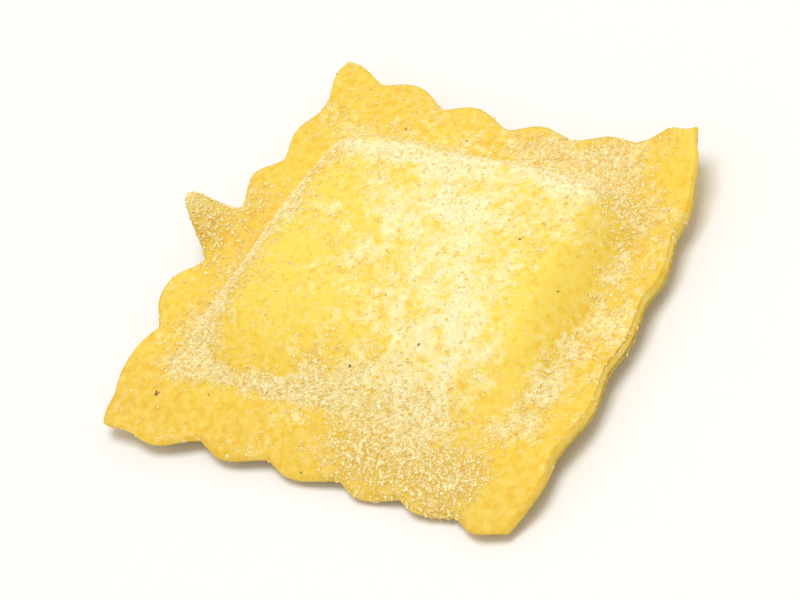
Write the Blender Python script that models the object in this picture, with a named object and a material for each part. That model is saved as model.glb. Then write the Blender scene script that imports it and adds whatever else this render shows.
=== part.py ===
"""A square raviolo with a fluted rim, modelled as one solid of fresh dough.

It lies on its flat underside with the pillow of filling upwards.  +X runs along the front side,
+Y runs to the back, +Z points up out of the pillow, and the origin is on the table under the
middle of its box.  Lengths below are in millimetres until the mesh is scaled to metres.
"""

from dataclasses import dataclass
from math import cos, exp, pi, sin

import bmesh
import bpy
from mathutils import Vector

MM = 0.001
NAME = "raviolo"
DOUGH_YELLOW = (0.93, 0.68, 0.13, 1.0)

# The grid that the solid is bent from: square rings of cells from the middle to the cut edge
CELLS = 42                            # along each side, a whole number for each of six scallops
RIM_CELLS = 5                         # across the rim
SLOPE_CELLS = 6                       # across the pillow's slope
FOOT_RING = 1 - RIM_CELLS / (CELLS / 2)
SHOULDER_RING = FOOT_RING - SLOPE_CELLS / (CELLS / 2)

# Corners of the cut square, between the scallops
LEFT_CORNER = Vector((-25.8, -27.3))
FRONT_CORNER = Vector((28.4, -27.2))
RIGHT_CORNER = Vector((27.2, 26.6))
BACK_CORNER = Vector((-23.0, 24.6))

# Cut edge: how soft its notches are, how far two corner tips are drawn out and how wide they are
NOTCH_SOFT = 0.35                     # 0 leaves the notches between scallops sharp, 1 makes them wide
EAR_REACH = 2.8                       # the rounded ear at the back corner
EAR_WIDTH = 3.8
TIP_REACH = 1.5                       # the point at the left corner
TIP_WIDTH = 2.4
BLUNT_REACH = -1.6                    # the right corner, drawn in
BLUNT_WIDTH = 4.0

# The pillow: the four corners of its foot, and the width of its slopes
PILLOW_LEFT = Vector((-22.6, -20.0))
PILLOW_FRONT = Vector((26.4, -18.6))
PILLOW_RIGHT = Vector((26.0, 17.4))
PILLOW_BACK = Vector((-19.4, 17.4))
SLOPE_LEFT, SLOPE_RIGHT = 6.4, 7.0
SLOPE_FRONT, SLOPE_BACK = 14.5, 4.8
CORNER_POWER = 7.0                    # how square the pillow's corners are
PILLOW_RISE = 5.4                     # from the rim to the edge of the flat top
DOME_RISE = 0.7                       # from there to the middle
LUMP_RISE = 0.22                      # of the filling under the dough
TOE = 0.75                            # how far the foot of the right slope is drawn out, 0 to 1
TOE_START, TOE_END = 15.0, 22.0       # where that begins and is full, along X
PILLOW_MIDDLE = (PILLOW_LEFT + PILLOW_FRONT + PILLOW_RIGHT + PILLOW_BACK) / 4

# Levels and thickness of the rim
RIM_LEVEL = 2.1                       # underside of the rim where it leaves the pillow
RIM_THICK = 1.6
RIGHT_THICKER = 0.3                   # added towards the right side
FRONT_THINNER = 0.5                   # taken off towards the front edge
ARRIS = 0.3                           # how far the cut edge's top is rounded, in plan
ARRIS_DROP = 0.2                      # and in height
UNDERCUT = 0.6                        # how far the cut edge leans in at its foot
INSIDE = 0.99                         # a ring just inside the cut edge

# How the soft rim bends
DROOP = 1.7                           # of the front rim's edge, deepest at DROOP_PLACE
DROOP_PLACE = 14.0
DROOP_WIDTH = 30.0
RUFFLE = 0.2                          # up and down along the scallops
CORNER_LIFT = 4.4                     # of the right corner
LIFT_START = 26.0                     # where the lift begins, from the middle along the diagonal
LIFT_END = 39.0
CURL = 5.8                            # of the one scallop that stands up on the left side
CURL_PLACE = -0.4
CURL_WIDTH = 2.5
CURL_START = 19.0                     # from the middle, where the curl begins
CURL_END = 28.5


def mix(first, second, t):
    """The number a share t of the way from the first to the second."""
    return first + (second - first) * t


@dataclass
class Side:
    """One side of the cut square, from its corner at s = -1 to its corner at s = 1."""

    start: Vector
    end: Vector
    out: Vector
    bow: float                        # how far the middle of the side swells outwards
    lean: float                       # above 0, it swells more towards the end
    scallops: tuple                   # of each: length along the side, depth, and peak as a share

    def border(self, along):
        """The point of the unit square's border at a share of the way along this side."""
        return self.out + Vector((abs(self.out.y), abs(self.out.x))) * (2 * along - 1)

    def scallop_at(self, s):
        """How far along the side a point is, and how far its scallop stands out there."""
        step = (s + 1) / 2 * len(self.scallops)
        which = min(int(step), len(self.scallops) - 1)
        length, depth, peak = self.scallops[which]
        t = step - which
        lengths = [scallop[0] for scallop in self.scallops]
        along = (sum(lengths[:which]) + t * length) / sum(lengths)
        bump = sin(pi / 2 * (t / peak if t < peak else (1 - t) / (1 - peak)))
        return along, depth * mix(bump, bump ** 2, NOTCH_SOFT)


FRONT = Side(LEFT_CORNER, FRONT_CORNER, Vector((0, -1)), -0.5, 0.0,
             ((12.2, 2.0, 0.50), (9.6, 1.4, 0.40), (10.0, 1.2, 0.35),
              (8.2, 1.1, 0.35), (7.6, 0.9, 0.35), (7.0, 1.2, 0.45)))
RIGHT = Side(FRONT_CORNER, RIGHT_CORNER, Vector((1, 0)), 2.4, -0.2,
             ((9.5, 0.9, 0.50), (12.0, 0.8, 0.50), (10.0, 0.4, 0.50),
              (9.0, 0.6, 0.50), (7.5, 0.5, 0.50), (6.5, 0.3, 0.50)))
BACK = Side(BACK_CORNER, RIGHT_CORNER, Vector((0, 1)), -3.9, 0.45,
            ((5.0, 0.2, 0.50), (9.8, 1.8, 0.50), (10.0, 1.5, 0.50),
             (9.3, 1.3, 0.50), (8.6, 1.0, 0.50), (9.0, 0.9, 0.50)))
LEFT = Side(LEFT_CORNER, BACK_CORNER, Vector((-1, 0)), 2.0, -0.5,
            ((12.0, 1.9, 0.50), (10.2, 2.8, 0.50), (7.8, 3.2, 0.60),
             (8.2, 2.2, 0.62), (9.1, 1.4, 0.50), (4.4, 0.3, 0.50)))


def share(value, low, high):
    """Where a value lies between two others, held to 0..1."""
    return min(max((value - low) / (high - low), 0.0), 1.0)


def smooth(t):
    """0..1 eased at both ends."""
    return t * t * (3 - 2 * t)


def drawn_out(point, corner, reach, width):
    """The pull of a corner's tip on a point of the outline."""
    away = (point - corner).length
    return corner.normalized() * reach * exp(-((away / width) ** 3))


def cut_edge(side, along, scallop):
    """A point of the fluted outline."""
    swell = side.bow * 4 * along * (1 - along) * (1 + side.lean * (2 * along - 1))
    point = side.start.lerp(side.end, along) + side.out * (swell + scallop)
    ear = drawn_out(point, BACK_CORNER, EAR_REACH, EAR_WIDTH)
    tip = drawn_out(point, LEFT_CORNER, TIP_REACH, TIP_WIDTH)
    blunt = drawn_out(point, RIGHT_CORNER, BLUNT_REACH, BLUNT_WIDTH)
    return point + ear + tip + blunt


def on_pillow(across, up):
    """Plan position at shares of the pillow's foot, from its left corner to its right one."""
    front = PILLOW_LEFT.lerp(PILLOW_FRONT, across)
    back = PILLOW_BACK.lerp(PILLOW_RIGHT, across)
    return front.lerp(back, up)


def foot_and_shoulder(side, along):
    """Where the pillow's slope starts and ends inside a point of a side."""
    u, v = side.border(along)
    pull = (abs(u) ** CORNER_POWER + abs(v) ** CORNER_POWER) ** (-1 / CORNER_POWER)
    across, up = (1 + u * pull) / 2, (1 + v * pull) / 2
    width = PILLOW_FRONT.x - PILLOW_LEFT.x
    depth = PILLOW_BACK.y - PILLOW_LEFT.y
    inner_across = mix(SLOPE_LEFT / width, 1 - SLOPE_RIGHT / width, across)
    inner_up = mix(SLOPE_FRONT / depth, 1 - SLOPE_BACK / depth, up)
    return on_pillow(across, up), on_pillow(inner_across, inner_up)


def facing_side(u, v, ring):
    """The side that a point of the grid looks to, and how far along that side it lies."""
    if abs(v) >= abs(u):
        return (BACK if v > 0 else FRONT), u / ring
    return (RIGHT if u > 0 else LEFT), v / ring


def plan_place(u, v, ring):
    """Plan position of a grid point, how far out on the rim it is and how far up the pillow."""
    if ring == 0:
        return PILLOW_MIDDLE, 0.0, 1.0
    side, s = facing_side(u, v, ring)
    along, scallop = side.scallop_at(s)
    foot, shoulder = foot_and_shoulder(side, along)
    if ring < SHOULDER_RING:
        return PILLOW_MIDDLE.lerp(shoulder, ring / SHOULDER_RING), 0.0, 1.0
    if ring < FOOT_RING:
        climb = (FOOT_RING - ring) / (FOOT_RING - SHOULDER_RING)
        return foot.lerp(shoulder, climb), 0.0, climb
    out = (ring - FOOT_RING) / (1 - FOOT_RING)
    return foot.lerp(cut_edge(side, along, scallop), out), out, 0.0


def rim_bend(place, out):
    """Height that the soft rim gains or loses at a plan position."""
    lift = CORNER_LIFT * share((place.x + place.y) / 2 ** 0.5, LIFT_START, LIFT_END) ** 2
    beside = (place.x - DROOP_PLACE) / DROOP_WIDTH
    droop = DROOP * share(place.y, PILLOW_FRONT.y, FRONT_CORNER.y) ** 1.5 * exp(-beside ** 2)
    beside = (place.y - CURL_PLACE) / CURL_WIDTH
    curl = CURL * share(-place.x, CURL_START, CURL_END) ** 2 * exp(-beside ** 2)
    ruffle = RUFFLE * out ** 2 * sin(place.x * 0.62 + place.y * 0.74)
    return lift - droop + curl + ruffle


def rim_thickness(place):
    """How thick the pressed dough of the rim is at a plan position."""
    thicker = RIGHT_THICKER * share(place.x, 0.0, PILLOW_RIGHT.x)
    thinner = FRONT_THINNER * share(place.y, PILLOW_FRONT.y, FRONT_CORNER.y)
    return RIM_THICK + thicker - thinner


def pillow_height(place, ring, climb):
    """Height of the top above the rim: a firm crease at the foot, then a rounded shoulder."""
    slope = mix(smooth(climb), 1 - (1 - climb) ** 2, 0.5)
    drawn = smooth(share(climb, 0.12, 0.95))
    slope = mix(slope, drawn, TOE * share(place.x, TOE_START, TOE_END))
    dome = DOME_RISE * (1 - share(ring, 0.0, SHOULDER_RING) ** 2)
    lumps = LUMP_RISE * sin(place.x * 0.42 + place.y * 0.13 + 1.1) * cos(place.y * 0.50 - 0.4)
    return PILLOW_RISE * slope + dome + lumps * climb


def slab_to_raviolo(u, v, w):
    """Place, in metres, of a point of the slab: u and v run across it, w is 1 on top, -1 below."""
    ring = max(abs(u), abs(v))
    place, out, climb = plan_place(u, v, ring)
    rounding = 0.0
    if ring == 1:
        inside = plan_place(u * INSIDE, v * INSIDE, INSIDE)[0]
        inset = w * ARRIS if w > 0 else -w * UNDERCUT
        place = place + (inside - place).normalized() * inset
        rounding = ARRIS_DROP
    rim = RIM_LEVEL + rim_bend(place, out)
    top = rim + rim_thickness(place) + pillow_height(place, ring, climb) - rounding
    under = rim * (1 - smooth(climb)) + rounding
    return Vector((place.x, place.y, mix(under, top, (1 + w) / 2))) * MM


def unit_slab():
    """A flat closed slab, CELLS by CELLS faces above and below and two rows round its edge."""
    slab = bmesh.new()
    bmesh.ops.create_grid(slab, x_segments=CELLS, y_segments=CELLS, size=1)
    for vert in slab.verts:
        vert.co.z = 1
    top = slab.faces[:]
    grown = bmesh.ops.extrude_face_region(slab, geom=top, use_keep_orig=True)
    for item in grown["geom"]:
        if isinstance(item, bmesh.types.BMVert):
            item.co.z = -1
    upright = [edge for edge in slab.edges if edge.verts[0].co.z != edge.verts[1].co.z]
    bmesh.ops.subdivide_edges(slab, edges=upright, cuts=1)
    bmesh.ops.recalc_face_normals(slab, faces=slab.faces)
    return slab


def dough_material():
    """Fresh egg dough: warm yellow, dull with semolina."""
    dough = bpy.data.materials.new("fresh_dough")
    dough.use_nodes = True
    shader = dough.node_tree.nodes["Principled BSDF"]
    shader.inputs["Base Color"].default_value = DOUGH_YELLOW
    shader.inputs["Roughness"].default_value = 0.8
    shader.inputs["Metallic"].default_value = 0.0
    return dough


def raviolo_mesh():
    """The slab bent to shape and centred over the origin."""
    slab = unit_slab()
    for vert in slab.verts:
        vert.co = slab_to_raviolo(*vert.co)
    across = [vert.co.x for vert in slab.verts]
    along = [vert.co.y for vert in slab.verts]
    middle = Vector((min(across) + max(across), min(along) + max(along), 0)) / 2
    bmesh.ops.translate(slab, verts=slab.verts, vec=-middle)
    mesh = bpy.data.meshes.new(NAME)
    slab.to_mesh(mesh)
    slab.free()
    mesh.shade_smooth()
    return mesh


def main():
    for old in list(bpy.data.objects):
        bpy.data.objects.remove(old, do_unlink=True)
    collection = bpy.data.collections.new(NAME)
    bpy.context.scene.collection.children.link(collection)
    raviolo = bpy.data.objects.new(NAME, raviolo_mesh())
    raviolo.data.materials.append(dough_material())
    collection.objects.link(raviolo)


main()
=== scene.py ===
"""A square fluted raviolo of fresh egg dough, dusted with semolina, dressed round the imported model.

It lies on the table with the pillow upwards: +X runs along its front side, +Y to the back and +Z
up.  Shapes are worked out in millimetres and turned to metres when a mesh is made.
"""

from dataclasses import dataclass
from math import cos, exp, pi, radians, sin

import bmesh
import bpy
import numpy as np
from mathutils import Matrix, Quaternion, Vector, noise


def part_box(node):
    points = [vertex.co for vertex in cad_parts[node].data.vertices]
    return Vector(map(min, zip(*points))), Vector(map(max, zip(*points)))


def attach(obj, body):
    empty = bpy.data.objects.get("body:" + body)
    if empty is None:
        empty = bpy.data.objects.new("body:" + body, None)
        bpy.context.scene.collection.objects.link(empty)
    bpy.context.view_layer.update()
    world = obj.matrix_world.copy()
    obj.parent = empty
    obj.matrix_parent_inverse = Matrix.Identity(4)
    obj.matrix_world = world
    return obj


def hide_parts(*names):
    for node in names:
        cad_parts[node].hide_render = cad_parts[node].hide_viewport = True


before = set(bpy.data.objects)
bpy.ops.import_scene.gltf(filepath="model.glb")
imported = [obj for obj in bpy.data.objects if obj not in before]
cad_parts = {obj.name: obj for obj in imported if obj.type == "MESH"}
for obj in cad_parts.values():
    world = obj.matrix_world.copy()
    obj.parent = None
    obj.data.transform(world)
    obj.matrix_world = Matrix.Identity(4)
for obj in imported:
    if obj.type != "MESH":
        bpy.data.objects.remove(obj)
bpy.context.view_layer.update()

LOW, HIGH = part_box("raviolo")
MM = 0.001

# --- Camera, light and table -------------------------------------------------------------------

AZIMUTH, ELEVATION, ROLL = 54.0, 46.0, -30.6      # degrees
DISTANCE = 420 * MM
LENS = 166.4
ASIDE = -2.1 * MM                                 # of the camera, so that the cut edge is centred

KEY_FROM = Vector((0.06, 0.02, 1.0))             # the way to the soft box
KEY_DISTANCE = 0.6
KEY_SIDE = 0.30
KEY_WATTS = 2.1
SKY = 0.60
SKY_COLOUR, KEY_COLOUR = "FFFCF7", "FEFEFF"

TABLE_SIDE = 8.0


def way_out(azimuth, elevation):
    """The unit vector from the middle to a viewer."""
    a, e = radians(azimuth), radians(elevation)
    return Vector((sin(a) * cos(e), -cos(a) * cos(e), sin(e)))


def place_camera():
    camera = bpy.data.objects.new("camera", bpy.data.cameras.new("camera"))
    bpy.context.scene.collection.objects.link(camera)
    bpy.context.scene.camera = camera
    back = way_out(AZIMUTH, ELEVATION)
    turn = back.to_track_quat("Z", "Y") @ Quaternion((0, 0, 1), radians(ROLL))
    camera.rotation_mode = "QUATERNION"
    camera.rotation_quaternion = turn
    camera.location = back * DISTANCE + turn @ Vector((ASIDE, 0, 0))
    camera.data.lens = LENS
    camera.data.clip_start = 0.01


place_camera()

# --- The dough's shape, as in the CAD but with a finer grid -------------------------------------

CELLS = 168                           # along each side, a whole number for each of six scallops
RIM_SHARE = 5 / 21                    # of the way from the middle to the cut edge
SLOPE_SHARE = 6 / 21
FOOT_RING = 1 - RIM_SHARE
SHOULDER_RING = FOOT_RING - SLOPE_SHARE
WALL_ROWS = 6                         # of faces up the cut edge

LEFT_CORNER = Vector((-25.8, -27.3))
FRONT_CORNER = Vector((28.4, -27.2))
RIGHT_CORNER = Vector((27.2, 26.6))
BACK_CORNER = Vector((-23.0, 24.6))

NOTCH_SOFT = 0.35
EAR_REACH, EAR_WIDTH = 2.8, 3.8
TIP_REACH, TIP_WIDTH = 1.5, 2.4
BLUNT_REACH, BLUNT_WIDTH = -1.6, 4.0

PILLOW_LEFT = Vector((-22.6, -20.0))
PILLOW_FRONT = Vector((26.4, -18.6))
PILLOW_RIGHT = Vector((26.0, 17.4))
PILLOW_BACK = Vector((-19.4, 17.4))
SLOPE_LEFT, SLOPE_RIGHT = 6.4, 7.0
SLOPE_FRONT, SLOPE_BACK = 14.5, 4.8
CORNER_POWER = 7.0
PILLOW_RISE = 5.4
DOME_RISE = 0.7
TOE, TOE_START, TOE_END = 0.75, 15.0, 22.0
PILLOW_MIDDLE = (PILLOW_LEFT + PILLOW_FRONT + PILLOW_RIGHT + PILLOW_BACK) / 4

RIM_LEVEL = 2.1
RIM_THICK = 1.6
RIGHT_THICKER = 0.3
FRONT_THINNER = 0.5
ARRIS, ARRIS_DROP, UNDERCUT = 0.3, 0.2, 0.6
ARRIS_WIDTH = 0.02                    # of the way from the middle to the cut edge

DROOP, DROOP_PLACE, DROOP_WIDTH = 1.7, 14.0, 30.0
RUFFLE = 0.2
CORNER_LIFT, LIFT_START, LIFT_END = 4.4, 26.0, 39.0
CURL, CURL_PLACE, CURL_WIDTH = 5.8, -0.4, 2.5
CURL_START, CURL_END = 19.0, 28.5

# Finer relief: (size in mm of the bumps, their height in mm)
FILLING = ((9.0, 0.30), (4.0, 0.10))              # soft lumps that press through the dough
PRESSED = ((6.0, 0.16), (2.4, 0.06))              # the fingers' marks on the rim
CREASE_DEPTH, CREASE_WIDTH = 0.15, 0.05           # mm, and share of the way to the cut edge
WANDER, WANDER_SIZE = 0.35, 8.0                   # of the pillow's lines, in mm


def mix(first, second, t):
    """The number a share t of the way from the first to the second."""
    return first + (second - first) * t


@dataclass
class Side:
    """One side of the cut square, from its corner at s = -1 to its corner at s = 1."""

    start: Vector
    end: Vector
    out: Vector
    bow: float                        # how far the middle of the side swells outwards
    lean: float                       # above 0, it swells more towards the end
    scallops: tuple                   # of each: length along the side, depth, and peak as a share

    def border(self, along):
        """The point of the unit square's border at a share of the way along this side."""
        return self.out + Vector((abs(self.out.y), abs(self.out.x))) * (2 * along - 1)

    def scallop_at(self, s):
        """How far along the side a point is, and how far its scallop stands out there."""
        step = (s + 1) / 2 * len(self.scallops)
        which = min(int(step), len(self.scallops) - 1)
        length, depth, peak = self.scallops[which]
        t = step - which
        lengths = [scallop[0] for scallop in self.scallops]
        along = (sum(lengths[:which]) + t * length) / sum(lengths)
        bump = sin(pi / 2 * (t / peak if t < peak else (1 - t) / (1 - peak)))
        return along, depth * mix(bump, bump ** 2, NOTCH_SOFT)


FRONT = Side(LEFT_CORNER, FRONT_CORNER, Vector((0, -1)), -0.5, 0.0,
             ((12.2, 2.0, 0.50), (9.6, 1.4, 0.40), (10.0, 1.2, 0.35),
              (8.2, 1.1, 0.35), (7.6, 0.9, 0.35), (7.0, 1.2, 0.45)))
RIGHT = Side(FRONT_CORNER, RIGHT_CORNER, Vector((1, 0)), 2.4, -0.2,
             ((9.5, 0.9, 0.50), (12.0, 0.8, 0.50), (10.0, 0.4, 0.50),
              (9.0, 0.6, 0.50), (7.5, 0.5, 0.50), (6.5, 0.3, 0.50)))
BACK = Side(BACK_CORNER, RIGHT_CORNER, Vector((0, 1)), -3.9, 0.45,
            ((5.0, 0.2, 0.50), (9.8, 1.8, 0.50), (10.0, 1.5, 0.50),
             (9.3, 1.3, 0.50), (8.6, 1.0, 0.50), (9.0, 0.9, 0.50)))
LEFT = Side(LEFT_CORNER, BACK_CORNER, Vector((-1, 0)), 2.0, -0.5,
            ((12.0, 1.9, 0.50), (10.2, 2.8, 0.50), (7.8, 3.2, 0.60),
             (8.2, 2.2, 0.62), (9.1, 1.4, 0.50), (4.4, 0.3, 0.50)))


def share(value, low, high):
    """Where a value lies between two others, held to 0..1."""
    return min(max((value - low) / (high - low), 0.0), 1.0)


def smooth(t):
    """0..1 eased at both ends."""
    return t * t * (3 - 2 * t)


def drawn_out(point, corner, reach, width):
    """The pull of a corner's tip on a point of the outline."""
    away = (point - corner).length
    return corner.normalized() * reach * exp(-((away / width) ** 3))


def cut_edge(side, along, scallop):
    """A point of the fluted outline."""
    swell = side.bow * 4 * along * (1 - along) * (1 + side.lean * (2 * along - 1))
    point = side.start.lerp(side.end, along) + side.out * (swell + scallop)
    ear = drawn_out(point, BACK_CORNER, EAR_REACH, EAR_WIDTH)
    tip = drawn_out(point, LEFT_CORNER, TIP_REACH, TIP_WIDTH)
    blunt = drawn_out(point, RIGHT_CORNER, BLUNT_REACH, BLUNT_WIDTH)
    return point + ear + tip + blunt


def on_pillow(across, up):
    """Plan position at shares of the pillow's foot, from its left corner to its right one."""
    front = PILLOW_LEFT.lerp(PILLOW_FRONT, across)
    back = PILLOW_BACK.lerp(PILLOW_RIGHT, across)
    return front.lerp(back, up)


def foot_and_shoulder(side, along):
    """Where the pillow's slope starts and ends inside a point of a side."""
    u, v = side.border(along)
    pull = (abs(u) ** CORNER_POWER + abs(v) ** CORNER_POWER) ** (-1 / CORNER_POWER)
    across, up = (1 + u * pull) / 2, (1 + v * pull) / 2
    width = PILLOW_FRONT.x - PILLOW_LEFT.x
    depth = PILLOW_BACK.y - PILLOW_LEFT.y
    inner_across = mix(SLOPE_LEFT / width, 1 - SLOPE_RIGHT / width, across)
    inner_up = mix(SLOPE_FRONT / depth, 1 - SLOPE_BACK / depth, up)
    return on_pillow(across, up), on_pillow(inner_across, inner_up)


def facing_side(u, v, ring):
    """The side that a point of the grid looks to, and how far along that side it lies."""
    if abs(v) >= abs(u):
        return (BACK if v > 0 else FRONT), u / ring
    return (RIGHT if u > 0 else LEFT), v / ring


def plan_place(u, v, ring):
    """Plan position of a grid point, how far out on the rim it is and how far up the pillow."""
    if ring == 0:
        return PILLOW_MIDDLE, 0.0, 1.0
    side, s = facing_side(u, v, ring)
    along, scallop = side.scallop_at(s)
    foot, shoulder = foot_and_shoulder(side, along)
    if ring < SHOULDER_RING:
        return PILLOW_MIDDLE.lerp(shoulder, ring / SHOULDER_RING), 0.0, 1.0
    if ring < FOOT_RING:
        climb = (FOOT_RING - ring) / (FOOT_RING - SHOULDER_RING)
        return foot.lerp(shoulder, climb), 0.0, climb
    out = (ring - FOOT_RING) / (1 - FOOT_RING)
    return foot.lerp(cut_edge(side, along, scallop), out), out, 0.0


def rim_bend(place, out):
    """Height that the soft rim gains or loses at a plan position."""
    lift = CORNER_LIFT * share((place.x + place.y) / 2 ** 0.5, LIFT_START, LIFT_END) ** 2
    beside = (place.x - DROOP_PLACE) / DROOP_WIDTH
    droop = DROOP * share(place.y, PILLOW_FRONT.y, FRONT_CORNER.y) ** 1.5 * exp(-beside ** 2)
    beside = (place.y - CURL_PLACE) / CURL_WIDTH
    curl = CURL * share(-place.x, CURL_START, CURL_END) ** 2 * exp(-beside ** 2)
    ruffle = RUFFLE * out ** 2 * sin(place.x * 0.62 + place.y * 0.74)
    return lift - droop + curl + ruffle


def rim_thickness(place):
    """How thick the pressed dough of the rim is at a plan position."""
    thicker = RIGHT_THICKER * share(place.x, 0.0, PILLOW_RIGHT.x)
    thinner = FRONT_THINNER * share(place.y, PILLOW_FRONT.y, FRONT_CORNER.y)
    return RIM_THICK + thicker - thinner


def bumps(place, sizes):
    """Soft random relief of several (size, height) pairs."""
    return sum(high * noise.noise(Vector((place.x, place.y, size)) / size) for size, high in sizes)


def pillow_height(place, ring, climb):
    """Height of the top above the rim: a firm crease at the foot, then a rounded shoulder."""
    slope = mix(smooth(climb), 1 - (1 - climb) ** 2, 0.5)
    drawn = smooth(share(climb, 0.12, 0.95))
    slope = mix(slope, drawn, TOE * share(place.x, TOE_START, TOE_END))
    dome = DOME_RISE * (1 - share(ring, 0.0, SHOULDER_RING) ** 2)
    crease = CREASE_DEPTH * exp(-(((ring - FOOT_RING) / CREASE_WIDTH) ** 2))
    return PILLOW_RISE * slope + dome - crease + bumps(place, FILLING) * climb


def wander(place, out):
    """A small sideways shift that keeps the pillow's lines from being ruled ones."""
    at = Vector((place.x, place.y, 0)) / WANDER_SIZE
    return noise.noise_vector(at).xy * WANDER * (1 - out ** 2)


def slab_to_raviolo(u, v, w):
    """Place of a point of the slab: u and v run across it, w is 1 on top and -1 below."""
    ring = max(abs(u), abs(v))
    place, out, climb = plan_place(u, v, ring)
    place = place + wander(place, out)
    if ring == 1:
        inside = plan_place(u * 0.99, v * 0.99, 0.99)[0]
        inset = w ** 4 * ARRIS if w > 0 else -w * UNDERCUT
        place = place + (inside - place).normalized() * inset
    rounding = ARRIS_DROP * share(ring, 1 - ARRIS_WIDTH, 1) ** 2 * abs(w)
    rim = RIM_LEVEL + rim_bend(place, out)
    # relief of the fingers' pressing on the rim
    pressing_and_painted_shade = bumps(place, PRESSED) * (1 - climb)
    top = rim + rim_thickness(place) + pillow_height(place, ring, climb) + pressing_and_painted_shade - rounding
    under = rim * (1 - smooth(climb)) + rounding
    return Vector((place.x, place.y, mix(under, top, (1 + w) / 2)))


def unit_slab():
    """A flat closed slab, CELLS by CELLS faces above and below and WALL_ROWS round its edge."""
    slab = bmesh.new()
    bmesh.ops.create_grid(slab, x_segments=CELLS, y_segments=CELLS, size=1)
    for vert in slab.verts:
        vert.co.z = 1
    grown = bmesh.ops.extrude_face_region(slab, geom=slab.faces[:], use_keep_orig=True)
    for item in grown["geom"]:
        if isinstance(item, bmesh.types.BMVert):
            item.co.z = -1
    upright = [edge for edge in slab.edges if edge.verts[0].co.z != edge.verts[1].co.z]
    bmesh.ops.subdivide_edges(slab, edges=upright, cuts=WALL_ROWS - 1)
    bmesh.ops.recalc_face_normals(slab, faces=slab.faces)
    return slab


# --- Where the semolina lies -------------------------------------------------------------------

@dataclass
class Drift:
    """Flour along a line from start to end: how wide it spreads, how much of the dough it covers,
    and how grainy it is, from 0 for flour rubbed fine to 1 for coarse loose semolina.  A cover
    below 0 is a place wiped bare."""

    start: tuple
    end: tuple
    width: float
    cover: float
    grainy: float

    def at(self, x, y):
        (x0, y0), (x1, y1) = self.start, self.end
        dx, dy = x1 - x0, y1 - y0
        t = np.clip(((x - x0) * dx + (y - y0) * dy) / (dx * dx + dy * dy), 0, 1)
        away = np.hypot(x - x0 - t * dx, y - y0 - t * dy)
        return self.cover * np.exp(-((away / self.width) ** 2))


THIN_FLOUR, THIN_GRAINS = 0.06, 0.05
DRIFTS = (
    Drift((3, 7), (13, -8), 11.0, 0.72, 0.04),    # over the pillow
    Drift((-13, 12.8), (19, 13.8), 1.5, 0.95, 0.15),    # on its back edge
    Drift((17, 12), (21, 9), 3.0, 0.40, 0.1),     # on its right corner
    Drift((-21, -16), (-18, 4), 2.9, 1.45, 0.55),  # in the left crease
    Drift((-18, 4), (-15, 12), 2.0, 0.80, 0.7),
    Drift((-22, -18), (0, -17.5), 1.1, 1.30, 0.5),     # in the front crease
    Drift((-3, -16), (14, -17), 3.0, 0.85, 0.45),  # down the front slope
    Drift((7, -21.5), (20, -22), 4.2, 0.75, 1.0),      # on the front rim
    Drift((25, -14), (25, 14), 1.6, 0.50, 0.5),   # at the foot of the right slope
    Drift((22.5, -15), (24, -10), 2.0, 0.50, 0.4),
    Drift((22.5, 15), (14, 19.5), 3.2, 0.85, 0.6),    # round the right corner
    Drift((4, 20), (18, 21.5), 3.2, 0.75, 0.6),     # on the back rim
    Drift((-27, -4), (-25, 5), 2.4, 0.45, 0.8),   # by the curl
    Drift((-11, -12), (-10, -6), 5.5, 0.04, 0.0),      # wiped bare: the pillow's left part
    Drift((20.8, -12), (21.2, 5), 2.3, -0.55, 0.3),    # and its right slope
    Drift((28, -8), (28, 12), 1.6, 0.42, 0.3),    # along the right margin
    Drift((-22, 19), (-6, 20), 3.0, 0.26, 0.2),   # thinly on the back rim
    Drift((-30, 0), (-28, 1.5), 2.0, 0.50, 0.4),  # on the curl
    Drift((28, 26), (26, 21), 2.6, -0.40, 0.8),   # wiped off the right corner
    Drift((26, -25), (26, -22), 3.4, -0.80, 0.6),      # and the front corner
)
PATCHES = ((5.0, 0.20), (1.8, 0.16))              # size in mm and strength of the dust's patches
CLUMPING = 2.0                                    # how much more patchy a thick drift is
BRAN_SPOTS = ((14.5, -10.3), (-22.5, -22.0), (6.3, 12.8))     # where its flecks lie together
BRAN_THIN, BRAN_WIDTH = 0.003, 0.25
STEEP = 0.55                                      # upward part of a face's normal that sheds dust


def cover(x, y, up):
    """Shares, 0..1, of the dough that flour, coarse grains and bran cover at each point, where the
    surface's normal has this upward part."""
    uneven = np.array([bumps(Vector(at), PATCHES) for at in zip(x, y)])
    lying = [drift.at(x, y) for drift in DRIFTS]
    coarse = sum(each * drift.grainy for each, drift in zip(lying, DRIFTS))
    clumps = 1 + CLUMPING * uneven
    flour = THIN_FLOUR + uneven + (sum(lying) - coarse) * clumps
    coarse = THIN_GRAINS + uneven / 2 + coarse * clumps
    spots = [np.exp(-(np.hypot(x - at[0], y - at[1]) / BRAN_WIDTH) ** 2) for at in BRAN_SPOTS]
    bran = BRAN_THIN + sum(spots)
    held = np.where(up > 0, mix(0.5, 1.0, np.clip(up / STEEP, 0, 1)), 0.5)
    return [np.clip(each * held, 0, 1) for each in (flour, coarse, bran)]


# --- Materials ---------------------------------------------------------------------------------

def colour(hexes):
    """An sRGB hex colour as the linear colour that a shader takes."""
    parts = [int(hexes[i:i + 2], 16) / 255 for i in (0, 2, 4)]
    linear = [c / 12.92 if c <= 0.04045 else ((c + 0.055) / 1.055) ** 2.4 for c in parts]
    return (*linear, 1.0)


def add(nodes, kind, inputs=None, **settings):
    """A new node with its settings; its inputs are values, or the sockets that feed them."""
    made = nodes.new(kind)
    for name, value in settings.items():
        setattr(made, name, value)
    for socket, value in (inputs or {}).items():
        if isinstance(value, bpy.types.NodeSocket):
            nodes.id_data.links.new(value, made.inputs[socket])
        else:
            made.inputs[socket].default_value = value
    return made


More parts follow.
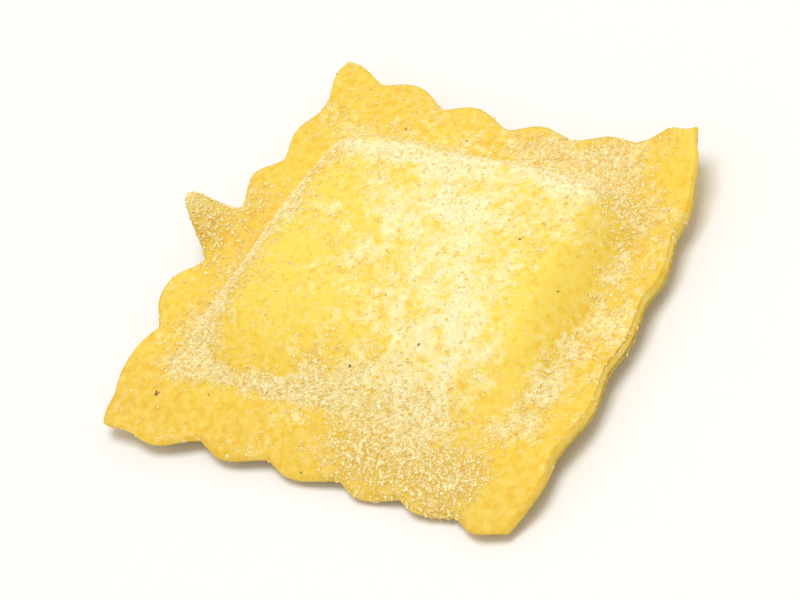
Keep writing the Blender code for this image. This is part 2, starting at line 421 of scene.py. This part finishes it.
def new_material(name):
    """An empty node material, with its nodes and its output."""
    material = bpy.data.materials.new(name)
    material.use_nodes = True
    nodes = material.node_tree.nodes
    nodes.clear()
    return material, nodes, nodes.new("ShaderNodeOutputMaterial")


def per_metre(size):
    """Texture scale whose pattern repeats about every so many millimetres."""
    return 1 / (size * MM)


def fresh_dough():
    """Sheets of egg and wheat dough rolled thin: moist and dull yellow with a soft sheen, a little
    light passing under the skin, deeper on the doubled rim, with painted shade along its front where
    the rim droops from the light and tan painted shade between coarse semolina grains, paler over
    the filling, and palest where the finest flour is rubbed in."""
    material, nodes, output = new_material("fresh_dough")
    place = add(nodes, "ShaderNodeTexCoord").outputs["Object"]
    broad = add(nodes, "ShaderNodeTexNoise", {"Vector": place, "Scale": per_metre(7), "Detail": 2.0})
    fine = add(nodes, "ShaderNodeTexNoise", {"Vector": place, "Scale": per_metre(0.9), "Detail": 3.0})
    grit = add(nodes, "ShaderNodeTexNoise", {"Vector": place, "Scale": per_metre(0.35), "Detail": 2.0})
    patch = add(nodes, "ShaderNodeTexNoise", {"Vector": place, "Scale": per_metre(2.4), "Detail": 1.0})
    dust = add(nodes, "ShaderNodeAttribute", attribute_name="flour").outputs["Fac"]
    grains = add(nodes, "ShaderNodeAttribute", attribute_name="coarse").outputs["Fac"]

    along = add(nodes, "ShaderNodeSeparateXYZ", {"Vector": place})
    filled = add(nodes, "ShaderNodeMapRange", {"Value": along.outputs["Z"], "From Min": 4.4 * MM,
                                               "From Max": 8.0 * MM})
    rim = add(nodes, "ShaderNodeMix", {"Factor": broad.outputs["Fac"], "A": colour("EDC23A"),
                                       "B": colour("F2D64E")}, data_type="RGBA")
    # painted shade: the front rim, which droops away from the light, is mixed towards a deeper yellow
    pressing_and_painted_shade = add(nodes, "ShaderNodeMapRange", {"Value": along.outputs["Y"], "From Min": -17 * MM,
                                                "From Max": -24 * MM, "To Max": 0.45})
    front_painted_shade = add(nodes, "ShaderNodeMix", {"Factor": pressing_and_painted_shade.outputs["Result"], "A": rim.outputs[2],
                                          "B": colour("E4BA3E")}, data_type="RGBA")
    yolk = add(nodes, "ShaderNodeMix", {"Factor": filled.outputs["Result"], "A": front_painted_shade.outputs[2],
                                        "B": colour("F7DA56")}, data_type="RGBA")
    fleck = add(nodes, "ShaderNodeMapRange", {"Value": fine.outputs["Fac"], "From Min": 0.42,
                                              "From Max": 0.68, "To Max": 0.5})
    mottled = add(nodes, "ShaderNodeMix", {"Factor": fleck.outputs["Result"], "A": yolk.outputs[2],
                                           "B": colour("FADF7C")}, data_type="RGBA")
    spot = add(nodes, "ShaderNodeMapRange", {"Value": fine.outputs["Fac"], "From Min": 0.44,
                                             "From Max": 0.32, "To Max": 0.4})
    spotted = add(nodes, "ShaderNodeMix", {"Factor": spot.outputs["Result"], "A": mottled.outputs[2],
                                           "B": colour("EBB02C")}, data_type="RGBA")
    # painted shade: the dough turns tan where coarse grains lie, for the shade between them
    painted_grain_shade = add(nodes, "ShaderNodeMath", {0: grains, 1: 0.5}, operation="MULTIPLY")
    dough = add(nodes, "ShaderNodeMix", {"Factor": painted_grain_shade.outputs[0], "A": spotted.outputs[2],
                                         "B": colour("D4AE56")}, data_type="RGBA")

    small = add(nodes, "ShaderNodeMath", {0: grit.outputs["Fac"], 1: fine.outputs["Fac"]}, operation="ADD")
    uneven = add(nodes, "ShaderNodeMath", {0: small.outputs[0], 1: patch.outputs["Fac"]}, operation="ADD")
    lying = add(nodes, "ShaderNodeMath", {0: uneven.outputs[0], 1: dust}, operation="ADD")
    floury = add(nodes, "ShaderNodeMapRange", {"Value": lying.outputs[0], "From Min": 1.80,
                                               "From Max": 2.45, "To Max": 0.95})
    skin = add(nodes, "ShaderNodeMix", {"Factor": floury.outputs["Result"], "A": dough.outputs[2],
                                        "B": colour("FDF3BE")}, data_type="RGBA")
    rough = add(nodes, "ShaderNodeMapRange", {"Value": floury.outputs["Result"], "To Min": 0.52,
                                              "To Max": 0.9})
    soft = add(nodes, "ShaderNodeBump", {"Height": fine.outputs["Fac"], "Strength": 0.5,
                                         "Distance": 0.10 * MM})
    gritty = add(nodes, "ShaderNodeBump", {"Height": grit.outputs["Fac"], "Strength": 0.6,
                                           "Distance": 0.09 * MM, "Normal": soft.outputs[0]})
    shader = add(nodes, "ShaderNodeBsdfPrincipled", {
        "Base Color": skin.outputs[2], "Roughness": rough.outputs["Result"], "IOR": 1.45,
        "Specular IOR Level": 0.35, "Subsurface Weight": 0.35, "Subsurface Scale": 1.0 * MM,
        "Subsurface Radius": (1.0, 0.5, 0.15), "Normal": gritty.outputs[0]})
    nodes.id_data.links.new(shader.outputs[0], output.inputs["Surface"])
    return material


def grain_material(name, amber, cream):
    """Hard glassy grains of two tints, with a faint glint."""
    material, nodes, output = new_material(name)
    place = add(nodes, "ShaderNodeTexCoord").outputs["Object"]
    grain = add(nodes, "ShaderNodeTexNoise", {"Vector": place, "Scale": per_metre(0.5), "Detail": 1.0})
    pale = add(nodes, "ShaderNodeMapRange", {"Value": grain.outputs["Fac"], "From Min": 0.35,
                                             "From Max": 0.65})
    tint = add(nodes, "ShaderNodeMix", {"Factor": pale.outputs["Result"], "A": colour(amber),
                                        "B": colour(cream)}, data_type="RGBA")
    shader = add(nodes, "ShaderNodeBsdfPrincipled", {
        "Base Color": tint.outputs[2], "Roughness": 0.55, "IOR": 1.5, "Specular IOR Level": 0.4,
        "Subsurface Weight": 0.1, "Subsurface Scale": 0.3 * MM, "Subsurface Radius": (1.0, 0.8, 0.4)})
    nodes.id_data.links.new(shader.outputs[0], output.inputs["Surface"])
    return material


def semolina():
    """Coarse-ground durum wheat: hard grains, amber to cream, each one seen by itself."""
    return grain_material("semolina", "F2CE72", "FFF6C0")


def fine_semolina():
    """The finer part of the same meal: paler, and seen only as a roughness on the dough."""
    return grain_material("fine_semolina", "FBE6A0", "FFFAD8")


def bran():
    """Flakes of the wheat's brown skin: dull and dark, like bits of bark."""
    material, nodes, output = new_material("bran")
    place = add(nodes, "ShaderNodeTexCoord").outputs["Object"]
    flake = add(nodes, "ShaderNodeTexNoise", {"Vector": place, "Scale": per_metre(0.4), "Detail": 2.0})
    tint = add(nodes, "ShaderNodeMix", {"Factor": flake.outputs["Fac"], "A": colour("5A3A12"),
                                        "B": colour("B98A3A")}, data_type="RGBA")
    shader = add(nodes, "ShaderNodeBsdfPrincipled", {"Base Color": tint.outputs[2], "Roughness": 0.7})
    nodes.id_data.links.new(shader.outputs[0], output.inputs["Surface"])
    return material


def matt_board():
    """A sheet of white matt board as the table: even, with a trace of its fibre."""
    material, nodes, output = new_material("matt_board")
    place = add(nodes, "ShaderNodeTexCoord").outputs["Object"]
    fibre = add(nodes, "ShaderNodeTexNoise", {"Vector": place, "Scale": per_metre(2.0), "Detail": 3.0})
    tint = add(nodes, "ShaderNodeMix", {"Factor": fibre.outputs["Fac"], "A": colour("F3F2F0"),
                                        "B": colour("F6F5F3")}, data_type="RGBA")
    shader = add(nodes, "ShaderNodeBsdfPrincipled", {"Base Color": tint.outputs[2], "Roughness": 0.9,
                                                     "Specular IOR Level": 0.2})
    nodes.id_data.links.new(shader.outputs[0], output.inputs["Surface"])
    return material


# --- Pieces ------------------------------------------------------------------------------------

def piece(name, mesh, material):
    """An object of the raviolo, which rides with it."""
    made = bpy.data.objects.new(name, mesh)
    mesh.materials.append(material)
    bpy.context.scene.collection.objects.link(made)
    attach(made, "root")
    return made


def normals_of(mesh):
    found = np.empty(len(mesh.vertices) * 3)
    mesh.vertex_normals.foreach_get("vector", found)
    return found.reshape(-1, 3)


def places_of(mesh):
    found = np.empty(len(mesh.vertices) * 3)
    mesh.vertices.foreach_get("co", found)
    return found.reshape(-1, 3)


def dough_mesh():
    """The dough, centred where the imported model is, with the dust's cover kept on its points."""
    slab = unit_slab()
    for vert in slab.verts:
        vert.co = slab_to_raviolo(*vert.co) * MM
    mesh = bpy.data.meshes.new("dough")
    slab.to_mesh(mesh)
    slab.free()
    at = places_of(mesh)
    middle = (at.min(0) + at.max(0)) / 2
    at[:, :2] += np.array((LOW + HIGH) / 2)[:2] - middle[:2]
    mesh.vertices.foreach_set("co", at.ravel())
    mesh.shade_smooth()
    mesh.update()
    for name, shares in zip(("flour", "coarse", "bran"), cover(*(at[:, :2] / MM).T, normals_of(mesh)[:, 2])):
        mesh.attributes.new(name, "FLOAT", "POINT").data.foreach_set("value", shares)
    return mesh


GRAIN = np.array([(1, 0, 0), (-1, 0, 0), (0, 1, 0), (0, -1, 0), (0, 0, 1), (0, 0, -1)], float)
GRAIN_FACES = np.array([(0, 2, 4), (2, 1, 4), (1, 3, 4), (3, 0, 4),
                        (2, 0, 5), (1, 2, 5), (3, 1, 5), (0, 3, 5)])
CLEARANCE = 0.35 * MM                 # grains under the rim stay this far above the table


def grains(name, dough, lying, count, size, flat, seed):
    """Loose grains on the dough: small irregular crystals, more where much of them is lying.

    size is the least and greatest across, in mm, and flat the height as a share of it."""
    random = np.random.default_rng(seed)
    at, out = places_of(dough), normals_of(dough)
    dust = np.empty(len(at))
    dough.attributes[lying].data.foreach_get("value", dust)
    corners = np.array([face.vertices[:] for face in dough.polygons])
    areas = np.array([face.area for face in dough.polygons])
    clear = at[corners][:, :, 2].mean(1) > CLEARANCE
    chance = areas * clear * dust[corners].mean(1) ** 1.3
    chosen = corners[random.choice(len(corners), count, p=chance / chance.sum())]
    s, t = random.random((2, count, 1))
    weights = np.stack([(1 - s) * (1 - t), s * (1 - t), s * t, (1 - s) * t], 1)
    spot = (at[chosen] * weights).sum(1)
    up = (out[chosen] * weights).sum(1)
    up /= np.linalg.norm(up, axis=1, keepdims=True)
    side = np.cross(up, random.normal(size=(count, 3)))
    side /= np.linalg.norm(side, axis=1, keepdims=True)
    across = np.cross(up, side)
    half = mix(size[0], size[1], random.random((count, 1)) ** 1.6) * MM / 2
    shape = GRAIN * random.uniform(0.7, 1.25, (count, 6, 1)) + random.normal(0, 0.16, (count, 6, 3))
    shape *= np.stack([random.uniform(0.75, 1.2, count), random.uniform(0.6, 1.0, count),
                       random.uniform(0.8, 1.2, count) * flat], 1)[:, None]
    axes = np.stack([side, across, up], 1)
    points = spot[:, None] + (up * half * flat * 0.30)[:, None] + (shape @ axes) * half[:, None]
    faces = GRAIN_FACES[None] + 6 * np.arange(count)[:, None, None]
    mesh = bpy.data.meshes.new(name)
    mesh.from_pydata(points.reshape(-1, 3), [], faces.reshape(-1, 3))
    mesh.validate()
    return mesh


def build_raviolo():
    dough = dough_mesh()
    raviolo = piece("dough", dough, fresh_dough())
    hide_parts("raviolo")
    piece("semolina", grains("semolina", dough, "coarse", 20000, (0.26, 0.52), 0.7, 11), semolina())
    piece("fine_semolina", grains("fine_semolina", dough, "flour", 24000, (0.12, 0.26), 0.4, 23),
          fine_semolina())
    piece("bran_flecks", grains("bran_flecks", dough, "bran", 26, (0.25, 0.55), 0.5, 37), bran())


build_raviolo()

# --- Table and light ---------------------------------------------------------------------------

def lay_table():
    """A wide pale table under the raviolo."""
    mesh = bpy.data.meshes.new("table")
    half = TABLE_SIDE / 2
    mesh.from_pydata([(-half, -half, 0), (half, -half, 0), (half, half, 0), (-half, half, 0)],
                     [], [(0, 1, 2, 3)])
    mesh.materials.append(matt_board())
    table = bpy.data.objects.new("table", mesh)
    bpy.context.scene.collection.objects.link(table)


def light_up():
    """One soft box high at the left, and even white light all round."""
    box = bpy.data.lights.new("soft_box", "AREA")
    box.size = KEY_SIDE
    box.energy = KEY_WATTS
    box.color = colour(KEY_COLOUR)[:3]
    lamp = bpy.data.objects.new("soft_box", box)
    bpy.context.scene.collection.objects.link(lamp)
    towards = KEY_FROM.normalized()
    lamp.location = towards * KEY_DISTANCE
    lamp.rotation_mode = "QUATERNION"
    lamp.rotation_quaternion = towards.to_track_quat("Z", "Y")
    world = bpy.data.worlds.new("studio")
    bpy.context.scene.world = world
    world.use_nodes = True
    sky = world.node_tree.nodes["Background"]
    sky.inputs["Color"].default_value = colour(SKY_COLOUR)
    sky.inputs["Strength"].default_value = SKY
    bpy.context.scene.view_settings.view_transform = "Standard"


lay_table()
light_up()
